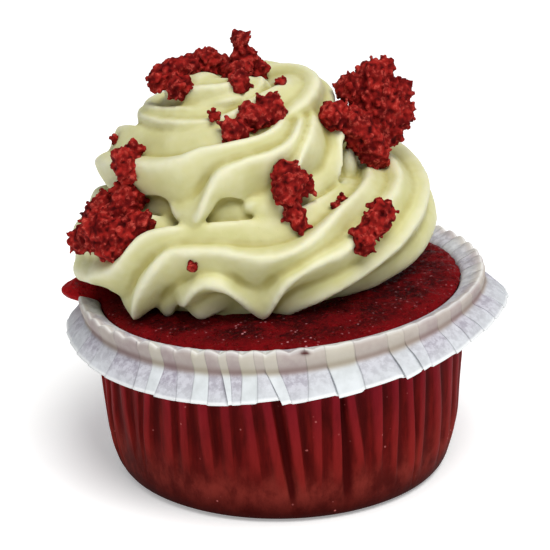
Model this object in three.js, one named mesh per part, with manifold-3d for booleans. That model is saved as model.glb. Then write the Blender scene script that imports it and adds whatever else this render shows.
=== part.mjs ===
// A red velvet cupcake: a fluted paper case with its rim folded out into a pleated frill,
// the domed cake in it, a piped swirl of cream, and clumps of cake crumb on the swirl.
// Millimetres, +Z up, -Y is the front. The origin is the centre of the flat foot.

import * as THREE from "three";
import { mergeVertices } from "three/addons/utils/BufferGeometryUtils.js";
import Module from "manifold-3d";

const wasm = await Module();
wasm.setup();

const TAU = 2 * Math.PI;
const DEGREE = Math.PI / 180;
const GAP = 0.3; // free space kept between two pieces that lie against each other

// ---- paper case ----
const PAPER = 0.5; // thickness of the paper
const FLUTES = 48;
const CASE_COLUMNS = 2 * FLUTES;
const FLUTE_DEPTH = 0.6;
const FLUTE_UNEVENNESS = 0.35; // share by which the depth of the flutes varies round the case
const FLUTES_START = 0.8; // heights between which the flutes grow out of the smooth foot
const FLUTES_FULL = 5;
const FOOT_RADIUS = 30;
const NECK_HEIGHT = 33.5; // where the wall ends and the frill begins
const NECK_BLEND = 2; // half the height over which the flutes fade there
const FRILL_INNER_RADIUS = 36; // where the paper begins to hang as the frill
const FRILL_WIDTH = 6.5; // from there to its free edge
const PLEAT_DEPTH = 0.9; // of the frill, at its free edge
const PLEAT_WANDER = 1.5; // radians by which the pleats stray from the flutes
const EDGE_WANDER = 0.8; // how far the free edge strays in and out
const EDGE_WAVE = 0.5; // and up and down
const SCALLOP_HEIGHT = 0.35; // of the fold round the cake
const FRILL_SHIFT = 1.2; // the frill's free edge hangs further out on the right
const FRILL_RISE = 0.03; // and higher, per millimetre across
const FRILL_SPREAD = 3; // it stands out flatter at both sides than in front
const FRILL_SPREAD_POWER = 1.5;

// ---- cake ----
const CAKE_COLUMNS = 42;
const CAKE_RIM_RADIUS = 34.1;
const CAKE_RIM_HEIGHT = 35;
const DOME_HEIGHT = 2.6;
const DOME_RINGS = [0.96, 0.88, 0.76, 0.5, 0]; // shares of the rim's radius
const CAKE_CRAGS = 0.35;
const CRAGS_INNER = 12; // the crags grow from this radius
const CRAGS_OUTER = 24; // to this one
const SIDE_GAP = 0.7 * FLUTE_DEPTH + GAP; // from the case's mean inner face to the cake
const RISE = 0.055; // the bake rose more on the right: height gained per millimetre across
const RISE_START = 4; // height from which it leans
const LIP = { x: -35.8, y: 1, z: 34.4, length: 6.4, width: 4.8, thickness: 2.1 }; // baked over the edge
const LIP_CUT_FOOT = 25; // below the lip, where the shape that clears it of the paper ends

// ---- piped cream ----
const SWIRL_X = -4.8; // the swirl's axis stands left of the cake's axis and behind it
const SWIRL_Y = 4.5;
const HEART_COLUMNS = 18;
// The rope of cream along its helix. Turns count from the left over the front, the right and
// the back. Radius of the path, height, radius of the rope, and the depth of its grooves as a
// share of that radius.
const ROPE = [
  { turn: -0.12, path: 25, height: 44.5, rope: 7.5, depth: 0.12 },
  { turn: 0, path: 25, height: 44.5, rope: 9.2, depth: 0.14 },
  { turn: 0.08, path: 25.3, height: 44.8, rope: 9.6, depth: 0.2 },
  { turn: 0.13, path: 24.8, height: 45.2, rope: 9.5, depth: 0.24 },
  { turn: 0.18, path: 23, height: 45.9, rope: 9.1, depth: 0.25 },
  { turn: 0.22, path: 22.2, height: 46.3, rope: 9.1, depth: 0.25 },
  { turn: 0.25, path: 22.2, height: 46.5, rope: 9.1, depth: 0.25 },
  { turn: 0.3, path: 22.4, height: 46.8, rope: 9.3, depth: 0.25 },
  { turn: 0.4, path: 23.6, height: 48, rope: 9.6, depth: 0.2 },
  { turn: 0.5, path: 24.8, height: 49, rope: 10, depth: 0.18 },
  { turn: 0.75, path: 23, height: 52, rope: 10, depth: 0.16 },
  { turn: 0.95, path: 20.5, height: 55.4, rope: 9.6, depth: 0.16 },
  { turn: 1.05, path: 19.8, height: 57.2, rope: 9.5, depth: 0.2 },
  { turn: 1.15, path: 18.4, height: 59, rope: 9.3, depth: 0.25 },
  { turn: 1.25, path: 16.4, height: 60.4, rope: 9.1, depth: 0.28 },
  { turn: 1.37, path: 12.8, height: 61.8, rope: 8.2, depth: 0.25 },
  { turn: 1.5, path: 10.2, height: 63.2, rope: 7.6, depth: 0.2 },
  { turn: 1.75, path: 12.4, height: 64.2, rope: 7, depth: 0.16 },
  { turn: 1.9, path: 15.4, height: 64.6, rope: 6.2, depth: 0.18 },
  { turn: 2, path: 16.2, height: 65.2, rope: 5.8, depth: 0.2 },
  { turn: 2.1, path: 13.8, height: 65.8, rope: 5.9, depth: 0.2 },
  { turn: 2.25, path: 8.6, height: 66.8, rope: 6.4, depth: 0.2 },
  { turn: 2.5, path: 9.6, height: 69.6, rope: 6, depth: 0.16 },
  { turn: 2.75, path: 7.4, height: 69.8, rope: 6, depth: 0.16 },
  { turn: 3, path: 11.8, height: 71.2, rope: 4.8, depth: 0.16 },
  { turn: 3.12, path: 9, height: 71.9, rope: 4.3, depth: 0.16 },
  { turn: 3.25, path: 4.4, height: 72.5, rope: 3.6, depth: 0.14 },
  { turn: 3.35, path: 2, height: 73.2, rope: 2.4, depth: 0.1 },
];
// Stretches of the rope, short enough not to meet themselves, with the most steps in front.
const STRETCHES = [
  { from: -0.12, to: 0.08, steps: 6 },
  { from: 0.08, to: 0.45, steps: 20 },
  { from: 0.45, to: 1.08, steps: 8 },
  { from: 1.08, to: 1.42, steps: 18 },
  { from: 1.42, to: 2.0, steps: 8 },
  { from: 2.0, to: 2.65, steps: 9 },
  { from: 2.65, to: 3.35, steps: 8 },
];
const ROPE_WOBBLE = 0.03; // share of its radius by which the rope is uneven
const WOBBLE_PACE = { quick: 23, slow: 9, round: 2 }; // per turn along it, and round its section
const NEARBY = 0.002; // turns between the points that give the rope's direction
// The ridges that the star nozzle left, each along the whole rope: turn, and angle on the
// section in degrees (0 outward, 90 up), counted on past 360 as the rope twists.
const RIDGES = [
  [
    [-0.12, -285], [0.1, -215], [0.2, -130], [0.3, -110], [0.4, -60], [0.5, -15], [0.75, 60], [1, 115],
    [1.2, 165], [1.3, 215], [1.4, 285], [1.5, 330], [1.75, 350], [2, 393], [2.15, 402], [2.25, 429],
    [2.65, 520], [3.35, 670],
  ],
  [
    [-0.12, -235], [0.1, -165], [0.16, -75], [0.2, -70], [0.255, -95], [0.3, -55], [0.325, -36],
    [0.365, -14], [0.4, 0], [0.45, 22], [0.5, 40], [0.75, 112], [1, 165], [1.2, 215], [1.3, 265],
    [1.4, 330], [1.5, 370], [1.75, 390], [2, 412], [2.09, 430], [2.17, 445], [2.3, 470], [2.65, 570],
    [3.35, 720],
  ],
  [
    [-0.12, -190], [0.1, -130], [0.14, -84], [0.17, -38], [0.188, -16], [0.203, -10], [0.225, -22],
    [0.255, -58], [0.28, -14], [0.31, 6], [0.34, 14], [0.375, 34], [0.405, 46], [0.45, 62], [0.5, 85],
    [0.75, 160], [1, 215], [1.2, 235], [1.25, 262], [1.305, 318], [1.35, 326], [1.378, 350],
    [1.4, 378], [1.5, 416], [1.75, 445], [2, 470], [2.25, 520], [2.65, 620], [3.35, 770],
  ],
  [
    [-0.12, -148], [0.09, -80], [0.12, -56], [0.138, -14], [0.158, 22], [0.185, 28], [0.22, 27],
    [0.262, 19], [0.285, 22], [0.308, 31], [0.33, 45], [0.36, 63], [0.435, 90], [0.5, 120],
    [0.75, 205], [1, 255], [1.15, 262], [1.2, 268], [1.225, 290], [1.24, 318], [1.26, 328],
    [1.28, 360], [1.3, 387], [1.335, 408], [1.4, 432], [1.5, 449], [1.75, 500], [2, 525], [2.25, 570],
    [2.65, 670], [3.35, 820],
  ],
  [
    [-0.12, -78], [0.06, -30], [0.09, -12], [0.118, 5], [0.135, 39], [0.15, 50], [0.2, 63], [0.26, 70],
    [0.3, 76], [0.4, 105], [0.5, 160], [0.75, 250], [1, 312], [1.12, 318], [1.16, 322], [1.178, 332],
    [1.19, 354], [1.205, 380], [1.238, 394], [1.265, 397], [1.295, 405], [1.335, 426], [1.4, 447],
    [1.5, 462], [1.75, 545], [2, 580], [2.25, 625], [2.65, 720], [3.35, 870],
  ],
  [
    [-0.12, -28], [0.1, 42], [0.13, 75], [0.2, 110], [0.3, 122], [0.4, 140], [0.5, 200], [0.75, 290],
    [1, 375], [1.04, 382], [1.1, 390], [1.138, 393], [1.163, 399], [1.188, 411], [1.25, 420],
    [1.29, 430], [1.325, 444], [1.4, 466], [1.5, 490], [1.75, 590], [2, 630], [2.25, 670], [2.65, 770],
    [3.35, 920],
  ],
  [
    [-0.12, 22], [0.1, 92], [0.13, 120], [0.2, 165], [0.3, 172], [0.4, 195], [0.5, 245], [0.75, 335],
    [1, 425], [1.053, 444], [1.1, 453], [1.21, 456], [1.3, 472], [1.5, 520], [1.75, 640], [2, 685],
    [2.25, 725], [2.65, 820], [3.35, 970],
  ],
];
const RIDGE_HEIGHT = 0.4; // of a ridge over the mean skin, as a share of the depth
const GROOVE_FALL = 1.2; // from a ridge to the groove's bottom, as a share of the depth
const LEAST_PITCH = 9; // degrees between two ridges
const FULL_PITCH = 50; // degrees at which the groove between them has its full depth
const DEEPEST = 1.25; // times that depth, where the pitch is wider
// Samples across the span from one ridge to the next one up; the third is the groove's bottom.
const SPAN_SAMPLES = [0, 0.18, 0.36, 0.68];
const GROOVE = SPAN_SAMPLES[2];
const STEEPNESS = 1.5; // power of the fall from a ridge up to the groove
const ROUNDNESS = 1.2; // power of the swell from the groove up to the next ridge
// Folds that stand out of the rope's skin, or lie in it: where along the rope, at which angle of
// its section, how far they reach, and how long (turns) and wide (degrees) they are.
const FOLDS = [
  { turn: 0.02, angle: -30, reach: 2.6, length: 0.03, width: 20 },
  { turn: 0.105, angle: -50, reach: 1.4, length: 0.025, width: 26 },
  { turn: 0.132, angle: -60, reach: 1.5, length: 0.013, width: 30 },
  { turn: 0.155, angle: -62, reach: -2.2, length: 0.012, width: 30 },
  { turn: 0.182, angle: -66, reach: 0.9, length: 0.014, width: 26 },
  { turn: 0.222, angle: -64, reach: -1.6, length: 0.02, width: 26 },
  { turn: 0.266, angle: -64, reach: 2, length: 0.02, width: 28 },
  { turn: 0.19, angle: 100, reach: -2.6, length: 0.09, width: 26 },
  { turn: 0.27, angle: 104, reach: -1.6, length: 0.05, width: 24 },
  { turn: 1.17, angle: -20, reach: 1.3, length: 0.024, width: 24 },
  { turn: 1.252, angle: -28, reach: 1.2, length: 0.018, width: 18 },
];
// The lower edge of the second coil, which hangs over the first one in petals: turn, and angle
// on the section. Below it the skin is tucked in.
const HEM = [
  [0.98, -70], [1.05, -8], [1.075, -10], [1.118, -4], [1.132, -6], [1.146, -20], [1.162, -30],
  [1.18, -31], [1.191, -23], [1.203, -6], [1.213, -4], [1.222, -11], [1.236, -31], [1.255, -37],
  [1.34, -38], [1.36, -31], [1.378, -6], [1.395, 18], [1.44, 24], [1.5, -60],
];
const HEM_TUCK = 2.6; // how far it is tucked in
const HEM_TURN = 13; // degrees over which the skin turns in
const HEM_REACH = [80, 120]; // degrees below the edge over which it comes out again
// The heart of the swirl, which the turns of rope lie round: radius and height.
const HEART = [[0, 34], [24, 34], [25, 46], [19, 55], [13, 62], [9, 67], [5, 71], [0, 73]];

// ---- crumbs of cake on the cream ----
const CRUMB_ROUGHNESS = 0.13;
const CLUMP_GAP = 0.5; // measured across the rope, so that about GAP is left across its ridges
// Each clump is made of one or two ragged bodies, and each body wraps a few lumps, given as
// x, y, z and radius. The finer the body, the higher its detail.
const CLUMPS = {
  crumb_top_left: [
    { detail: 3, lumps: [[-18.7, 1.6, 76.9, 3], [-21.7, 1.5, 75.6, 2.6], [-17.9, -2, 74.9, 2.5],
      [-16.3, 4.8, 76.9, 2.4]] },
  ],
  crumb_top_middle: [
    { detail: 2, lumps: [[-13, 8.3, 76.9, 2.9], [-10.5, 9.3, 76.1, 2.2], [-15.2, 9.6, 76.2, 1.9]] },
  ],
  crumb_top_tall: [
    { detail: 3, lumps: [[-5.8, 6.5, 77.6, 2.7], [-6.5, 7, 81.3, 1.8], [-7.1, 1.5, 76.5, 2.7],
      [-6.8, -3, 75.9, 2.2], [-3.4, 7, 75.4, 2]] },
  ],
  crumb_right_large: [
    { detail: 3, lumps: [[19.4, 3.5, 69.6, 5.6], [18.2, 4, 74.3, 3.8], [13.9, 2.5, 72.8, 2.9],
      [23, 5, 67, 3.4], [23.3, 5, 71.3, 2.8], [20.6, 4.5, 76.4, 1.8], [20.6, 3, 65, 4]] },
    { detail: 3, lumps: [[15.6, -1.4, 65.6, 3.9], [10.4, -4, 69.4, 2.8], [13.5, -2.6, 68.1, 3.1],
      [17.4, -0.6, 62.4, 3.6], [18.6, -0.4, 60, 2.7]] },
  ],
  crumb_centre_high: [
    { detail: 3, lumps: [[-4.6, -10, 70.9, 3], [-7.6, -13.3, 69.5, 2.8], [-1.3, -7.7, 72.1, 2.9],
      [0, -8.7, 70.8, 1.8]] },
  ],
  crumb_centre_low: [
    { detail: 2, lumps: [[2.1, -20.2, 62.1, 3], [1.4, -18.9, 63.3, 2.4], [1.5, -20.5, 60, 2.7],
      [4.7, -17, 60.5, 2.2]] },
    { detail: 2, lumps: [[2.9, -20.6, 56, 2], [2.4, -18.6, 57.5, 1.8], [3.6, -21.4, 54, 1.6]] },
  ],
  crumb_right_low: [
    { detail: 3, lumps: [[17.1, -20, 53.4, 2.6], [18.6, -17.5, 55, 2.6], [15.2, -22.4, 50.9, 2.1],
      [14.2, -21.6, 52.2, 1.6], [21.7, -14.4, 52.8, 1.5]] },
  ],
  crumb_left_small: [
    { detail: 2, lumps: [[-28, -11.8, 64, 2.5], [-27.4, -12.8, 62.2, 2.1], [-26.2, -8.2, 64.7, 1.9]] },
  ],
  crumb_left_large: [
    { detail: 3, lumps: [[-28.4, -12.8, 54.4, 3.7], [-27.4, -11.5, 57, 3.3], [-25.3, -17, 53.5, 2.8],
      [-32.2, -9.5, 54, 3.3], [-28.2, -17.2, 51.6, 3.1]] },
    { detail: 3, lumps: [[-32.6, -15.3, 51.7, 3.8], [-36, -11.1, 49, 3.1], [-30.5, -17, 49.1, 3],
      [-33.6, -9, 52.3, 2.9]] },
  ],
};
// Small crumbs stuck in the cream, by the same four numbers.
const STUCK_CRUMBS = [[-11.4, -9.6, 71.4, 1.5], [10.4, -16.8, 56, 1.4], [11.6, -14.8, 56.9, 1.1],
  [-15.6, -24.9, 47.8, 1.4], [-30.4, 3.2, 63.5, 1.3], [0.9, -0.6, 75, 1.5]];

// ---- small helpers ----
const clamp01 = (value) => Math.min(1, Math.max(0, value));

function smooth(from, to, value) {
  const share = clamp01((value - from) / (to - from));
  return share * share * (3 - 2 * share);
}

function noise(seed) {
  // a smooth, repeatable wobble in -1..1
  const phase = [1, 2, 3, 4].map((k) => seed * k * 2.399);
  return (x, y, z) =>
    (Math.sin(x * 1.3 + y * 0.7 + phase[0]) + Math.sin(y * 1.7 - z * 0.9 + phase[1]) +
      Math.sin(z * 1.5 + x * 0.8 + phase[2]) + Math.sin((x - y + z) * 1.1 + phase[3])) / 4;
}

function randomFrom(seed) {
  let state = seed;
  return () => {
    state = (Math.imul(state, 1664525) + 1013904223) >>> 0;
    return state / 2 ** 32;
  };
}

function curveThrough(pairs) {
  // a smooth curve through pairs of a turn and a value
  const x = pairs.map(([turn]) => turn);
  const y = pairs.map(([, value]) => value);
  const last = x.length - 1;
  const slope = y.map((value, i) => {
    const before = Math.max(0, i - 1);
    const after = Math.min(last, i + 1);
    return (y[after] - y[before]) / (x[after] - x[before]);
  });
  return (at) => {
    let i = 0;
    while (i < last - 1 && at > x[i + 1]) i += 1;
    const span = x[i + 1] - x[i];
    const s = (at - x[i]) / span;
    const rise = s * s * (3 - 2 * s);
    const leave = s * (1 - s) * (1 - s) * span * slope[i];
    const arrive = s * s * (s - 1) * span * slope[i + 1];
    return y[i] + (y[i + 1] - y[i]) * rise + leave + arrive;
  };
}

function reshape(geometry, place) {
  // moves every corner of a closed geometry and merges the corners that coincide
  const bare = geometry.clone();
  bare.deleteAttribute("normal");
  bare.deleteAttribute("uv");
  const position = bare.getAttribute("position");
  const point = new THREE.Vector3();
  for (let i = 0; i < position.count; i += 1) {
    point.fromBufferAttribute(position, i);
    place(point);
    position.setXYZ(i, point.x, point.y, point.z);
  }
  return mergeVertices(bare, 1e-4);
}

function turned(profile, columns, place) {
  // a body of revolution about +Z; place then moves each point, given with its azimuth and radius
  const points = profile.map(([radius, height]) => new THREE.Vector2(radius, height));
  const lathe = new THREE.LatheGeometry(points, columns).rotateX(Math.PI / 2);
  return reshape(lathe, (point) => {
    place(point, Math.atan2(point.x, -point.y), Math.hypot(point.x, point.y));
  });
}

function toSolid(geometry) {
  return new wasm.Manifold(new wasm.Mesh({
    numProp: 3,
    vertProperties: Float32Array.from(geometry.getAttribute("position").array),
    triVerts: Uint32Array.from(geometry.getIndex().array),
  }));
}

function fromSolid(solid) {
  // the largest body alone, so sealed hollows are filled and loose scraps are dropped
  const [body] = solid.decompose().sort((a, b) => b.volume() - a.volume());
  const mesh = body.getMesh();
  const geometry = new THREE.BufferGeometry();
  geometry.setAttribute("position", new THREE.BufferAttribute(Float32Array.from(mesh.vertProperties), 3));
  geometry.setIndex(new THREE.BufferAttribute(Uint32Array.from(mesh.triVerts), 1));
  geometry.computeVertexNormals();
  return geometry;
}

// ---- paper case ----
// The wall's outer face, the frill's hidden face, the frill's face that shows and the wall's
// inner face, each as radius and height.
const WALL_OUTER = [[FOOT_RADIUS, 0], [32, 1], [33.2, 4], [34.1, 10], [34.7, 21], [34.9, NECK_HEIGHT]];
const FRILL_UNDER = [[36.5, 35.9], [38.3, 33.4], [38.5, 32.1], [42.1, 27.8]];
const FRILL_FACE = [[42.6, 28.1], [38.9, 32.4], [38.8, 34.4], [37.4, 36.3], [35, 35.9]];
const WALL_INNER = [[34.4, 34], [33.7, 12], [32.3, 3.2], [FOOT_RADIUS - 0.2, PAPER]];
const paperNoise = noise(3);

function lean(point) {
  point.z += RISE * point.x * smooth(RISE_START, NECK_HEIGHT, point.z);
}

function placePaper(point, azimuth, radius) {
  const frill = clamp01((radius - FRILL_INNER_RADIUS) / FRILL_WIDTH);
  const belowNeck = 1 - smooth(NECK_HEIGHT - NECK_BLEND, NECK_HEIGHT + NECK_BLEND, point.z);
  const wall = smooth(FLUTES_START, FLUTES_FULL, point.z) * belowNeck * (1 - frill);
  const fold = smooth(NECK_HEIGHT + 0.5, FRILL_FACE[3][1], point.z) * (1 - frill);
  const uneven = paperNoise(Math.sin(azimuth) * 4, Math.cos(azimuth) * 5, Math.sin(azimuth * 2));
  const flute = Math.cos(azimuth * FLUTES) * (1 + FLUTE_UNEVENNESS * uneven);
  const pleat = Math.cos(azimuth * FLUTES + PLEAT_WANDER * uneven);
  const out = 0.5 * wall * FLUTE_DEPTH * flute + frill * (PLEAT_DEPTH * pleat + EDGE_WANDER * uneven);
  point.x += out * Math.sin(azimuth);
  point.y -= out * Math.cos(azimuth);
  point.z += SCALLOP_HEIGHT * fold * pleat + EDGE_WAVE * frill * (pleat - uneven);
  lean(point);
  const spread = FRILL_SPREAD * Math.abs(Math.sin(azimuth)) ** FRILL_SPREAD_POWER;
  point.z += frill * (FRILL_RISE * point.x + spread);
  point.x += FRILL_SHIFT * frill;
}

function paperCase() {
  const profile = [[0, 0], ...WALL_OUTER, ...FRILL_UNDER, ...FRILL_FACE, ...WALL_INNER, [0, PAPER]];
  return turned(profile, CASE_COLUMNS, placePaper);
}

// ---- cake ----
const cragNoise = noise(7);
const CAKE_FLOOR = PAPER + GAP;

function domeHeight(share) {
  return CAKE_RIM_HEIGHT + DOME_HEIGHT * Math.sqrt(1 - share * share);
}

function cakeBody(lift) {
  const side = WALL_INNER.map(([radius, height]) => [radius - SIDE_GAP, Math.max(height, CAKE_FLOOR)]);
  const dome = DOME_RINGS.map((share) => [share * CAKE_RIM_RADIUS, domeHeight(share)]);
  const profile = [[0, CAKE_FLOOR], ...side.reverse(), [CAKE_RIM_RADIUS, CAKE_RIM_HEIGHT], ...dome];
  return turned(profile, CAKE_COLUMNS, (point, azimuth, radius) => {
    const top = smooth(NECK_HEIGHT, CAKE_RIM_HEIGHT, point.z);
    const crags = cragNoise(point.x * 1.7, point.y * 1.9, point.x - point.y);
    point.z += CAKE_CRAGS * top * smooth(CRAGS_INNER, CRAGS_OUTER, radius) * crags + lift * top;
    lean(point);
  });
}

function cake() {
  // the dome with the lip that ran over the fold of the paper, clear of the paper
  const lip = reshape(new THREE.IcosahedronGeometry(1, 2), (point) => {
    point.set(LIP.x + point.x * LIP.length, LIP.y + point.y * LIP.width, LIP.z + point.z * LIP.thickness);
  });
  const overPaper = FRILL_FACE.map(([radius, height]) => [radius + GAP, height + GAP]);
  const innerEdge = [CAKE_RIM_RADIUS, overPaper.at(-1)[1]];
  const foot = [[CAKE_RIM_RADIUS, LIP_CUT_FOOT], [overPaper[0][0], LIP_CUT_FOOT]];
  const paper = turned([...foot, ...overPaper, innerEdge, foot[0]], CASE_COLUMNS, placePaper);
  return fromSolid(toSolid(cakeBody(0)).add(toSolid(lip).subtract(toSolid(paper))));
}

// ---- piped cream ----
const ofRope = (name) => curveThrough(ROPE.map((key) => [key.turn, key[name]]));
const pathAt = ofRope("path");
const heightAt = ofRope("height");
const ropeAt = ofRope("rope");
const depthAt = ofRope("depth");
const ridgeCurves = RIDGES.map(curveThrough);
const hemAt = curveThrough(HEM);
const ropeNoise = noise(11);

function foldsAt(turn, around) {
  return FOLDS.reduce((sum, fold) => {
    const along = (turn - fold.turn) / fold.length;
    const apart = THREE.MathUtils.euclideanModulo(around / DEGREE - fold.angle + 180, 360) - 180;
    return sum + fold.reach * Math.exp(-along * along - (apart / fold.width) ** 2);
  }, 0);
}

function tuckAt(turn, around) {
  if (turn <= HEM[0][0] || turn >= HEM.at(-1)[0]) return 0;
  const below = THREE.MathUtils.euclideanModulo(hemAt(turn) - around / DEGREE, 360);
  return HEM_TUCK * smooth(0, HEM_TURN, below) * (1 - smooth(...HEM_REACH, below));
}

function ridgesOf(turn) {
  // the ridges' angles in rising order, with the first one again at the end
  const angles = ridgeCurves.map((curve) => curve(turn));
  angles.push(angles[0] + 360);
  for (let i = 1; i < angles.length; i += 1) {
    angles[i] = Math.max(angles[i], angles[i - 1] + LEAST_PITCH);
  }
  return angles;
}

function onSpan(angles, sample) {
  // the angle of one of the section's samples, and how far the groove lies in there
  const i = Math.floor(sample / SPAN_SAMPLES.length);
  const within = SPAN_SAMPLES[sample % SPAN_SAMPLES.length];
  const pitch = angles[i + 1] - angles[i];
  const fall = within < GROOVE
    ? (within / GROOVE) ** STEEPNESS
    : Math.sin(((1 - within) / (1 - GROOVE)) * (Math.PI / 2)) ** ROUNDNESS;
  return [(angles[i] + pitch * within) * DEGREE, fall * Math.min(DEEPEST, pitch / FULL_PITCH)];
}

function outwardAt(turn) {
  const angle = Math.PI + TAU * turn;
  return new THREE.Vector3(Math.cos(angle), Math.sin(angle), 0);
}

function centreOf(turn) {
  const centre = new THREE.Vector3(SWIRL_X, SWIRL_Y, heightAt(turn));
  return centre.addScaledVector(outwardAt(turn), pathAt(turn));
}

function ropeStretch({ from, to, steps }, grow) {
  const samples = RIDGES.length * SPAN_SAMPLES.length;
  const { quick, slow, round } = WOBBLE_PACE;
  const tube = new THREE.CylinderGeometry(1, 1, 1, samples, steps);
  return reshape(tube, (point) => {
    const turn = from * (0.5 + point.y) + to * (0.5 - point.y);
    const ahead = centreOf(turn + NEARBY).sub(centreOf(turn - NEARBY)).normalize();
    const outward = outwardAt(turn);
    outward.addScaledVector(ahead, -outward.dot(ahead)).normalize();
    const upward = new THREE.Vector3().crossVectors(outward, ahead);
    const onSection = Math.atan2(point.x, point.z) / TAU;
    const sample = THREE.MathUtils.euclideanModulo(Math.round(onSection * samples), samples);
    const [around, fall] = onSpan(ridgesOf(turn), sample);
    const section = 1 + depthAt(turn) * (RIDGE_HEIGHT - GROOVE_FALL * fall);
    const wobble = 1 + ROPE_WOBBLE * ropeNoise(turn * quick, Math.cos(around) * round, turn * slow);
    const folds = foldsAt(turn, around) - tuckAt(turn, around);
    const radius = Math.hypot(point.x, point.z) * (ropeAt(turn) * section * wobble + folds + grow);
    const longer = point.y === -0.5 ? grow : 0; // a thicker rope also ends further on
    point.copy(centreOf(turn)).addScaledVector(ahead, longer);
    point.addScaledVector(outward, radius * Math.cos(around));
    point.addScaledVector(upward, radius * Math.sin(around));
  });
}

function swirl(grow) {
  const heart = turned(HEART, HEART_COLUMNS, (point) => {
    point.x += SWIRL_X;
    point.y += SWIRL_Y;
  });
  const stretches = STRETCHES.map((stretch) => toSolid(ropeStretch(stretch, grow)));
  return stretches.reduce((whole, stretch) => whole.add(stretch), toSolid(heart));
}

// ---- crumbs ----
function reachOf(direction, lumps) {
  // how far the outline of the lumps lies from the first lump's centre in one direction
  const [x, y, z] = lumps[0];
  return Math.max(...lumps.map((lump) => {
    const offset = new THREE.Vector3(lump[0] - x, lump[1] - y, lump[2] - z);
    const along = offset.dot(direction);
    const inside = along * along - offset.lengthSq() + lump[3] * lump[3];
    return inside < 0 ? 0 : along + Math.sqrt(inside);
  }));
}

function raggedBody({ detail, lumps }, grow, random) {
  const offsets = new Map();
  return reshape(new THREE.IcosahedronGeometry(1, detail), (point) => {
    const corner = point.toArray().map((value) => value.toFixed(3)).join();
    if (!offsets.has(corner)) offsets.set(corner, 1 + CRUMB_ROUGHNESS * (2 * random() - 1));
    point.multiplyScalar(reachOf(point, lumps) * offsets.get(corner) + grow);
    point.add(new THREE.Vector3(...lumps[0]));
  });
}

function clump(bodies, grow, seed) {
  const random = randomFrom(seed);
  const solids = bodies.map((body) => toSolid(raggedBody(body, grow, random)));
  return solids.reduce((whole, solid) => whole.add(solid));
}

function stuckCrumbs() {
  return clump(STUCK_CRUMBS.map((numbers) => ({ detail: 0, lumps: [numbers] })), 0, 21);
}

// ---- the scene graph ----
const cupcake = new THREE.Group();

function addMesh(name, geometry, color, roughness) {
  const material = new THREE.MeshStandardMaterial({ color, roughness, metalness: 0 });
  const mesh = new THREE.Mesh(geometry, material);
  mesh.name = name;
  cupcake.add(mesh);
}

addMesh("paper_case", paperCase(), 0x8c2a26, 0.55);
addMesh("cake", cake(), 0x5c0f12, 0.5);

const piped = swirl(0).add(stuckCrumbs()).subtract(toSolid(cakeBody(GAP)));
addMesh("cream", fromSolid(piped), 0xe6e6bc, 0.55);

let taken = swirl(CLUMP_GAP).add(stuckCrumbs());
Object.entries(CLUMPS).forEach(([name, bodies], seed) => {
  addMesh(name, fromSolid(clump(bodies, 0, seed + 1).subtract(taken)), 0x8a1a1c, 0.7);
  taken = taken.add(clump(bodies, GAP, seed + 1));
});

export default cupcake;
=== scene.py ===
"""A red velvet cupcake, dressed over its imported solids: paper case, cake, cream and crumbs.

Shapes are worked out in millimetres, with +Z up and -Y the front, and are scaled to metres at the
end. An azimuth is measured from the front, in degrees where a table gives it, towards +X.
"""

import math
import random
from collections import namedtuple

import bmesh
import bpy
from mathutils import Matrix, Vector, noise


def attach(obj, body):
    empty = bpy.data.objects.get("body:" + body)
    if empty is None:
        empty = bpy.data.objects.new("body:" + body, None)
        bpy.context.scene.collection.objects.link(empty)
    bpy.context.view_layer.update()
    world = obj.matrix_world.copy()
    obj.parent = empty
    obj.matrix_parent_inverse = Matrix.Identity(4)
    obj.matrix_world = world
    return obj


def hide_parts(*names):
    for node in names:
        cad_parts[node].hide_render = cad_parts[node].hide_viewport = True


MM = 0.001
TAU = 2 * math.pi

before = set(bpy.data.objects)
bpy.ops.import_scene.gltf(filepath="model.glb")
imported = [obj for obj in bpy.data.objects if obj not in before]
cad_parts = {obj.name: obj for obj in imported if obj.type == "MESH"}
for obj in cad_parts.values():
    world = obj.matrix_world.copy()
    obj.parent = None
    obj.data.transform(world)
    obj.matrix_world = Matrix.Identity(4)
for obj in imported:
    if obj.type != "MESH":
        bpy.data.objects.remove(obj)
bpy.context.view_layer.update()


# ---- curves and wobbles ----
def clamp01(value):
    return min(1.0, max(0.0, value))


def smooth(start, end, value):
    """0 before start, 1 after end and an even ease in between."""
    share = clamp01((value - start) / (end - start))
    return share * share * (3 - 2 * share)


def bell(value, middle, width):
    """1 at the middle, dying away on both sides over about that width."""
    return math.exp(-(((value - middle) / width) ** 2))


def waves(seed):
    """A smooth, repeatable wobble in -1..1, the one that the solids use."""
    phase = [seed * k * 2.399 for k in (1, 2, 3, 4)]
    return lambda x, y, z: (
        math.sin(x * 1.3 + y * 0.7 + phase[0])
        + math.sin(y * 1.7 - z * 0.9 + phase[1])
        + math.sin(z * 1.5 + x * 0.8 + phase[2])
        + math.sin((x - y + z) * 1.1 + phase[3])
    ) / 4


def grain(point, size, seed):
    """Perlin noise with features of about that size, in -1..1."""
    return noise.noise(Vector(point) / size + Vector((seed, seed * 1.7, -seed)))


def curve_of(keys, column):
    """A smooth curve through one column of the keys over their first column."""
    x = [key[0] for key in keys]
    y = [key[column] for key in keys]
    last = len(x) - 1

    def slope(i):
        before, after = max(0, i - 1), min(last, i + 1)
        return (y[after] - y[before]) / (x[after] - x[before])

    def at(value):
        i = 0
        while i < last - 1 and value > x[i + 1]:
            i += 1
        span = x[i + 1] - x[i]
        s = (value - x[i]) / span
        rise = s * s * (3 - 2 * s)
        leave = s * (1 - s) * (1 - s) * span * slope(i)
        arrive = s * s * (s - 1) * span * slope(i + 1)
        return y[i] + (y[i + 1] - y[i]) * rise + leave + arrive

    return at


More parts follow.
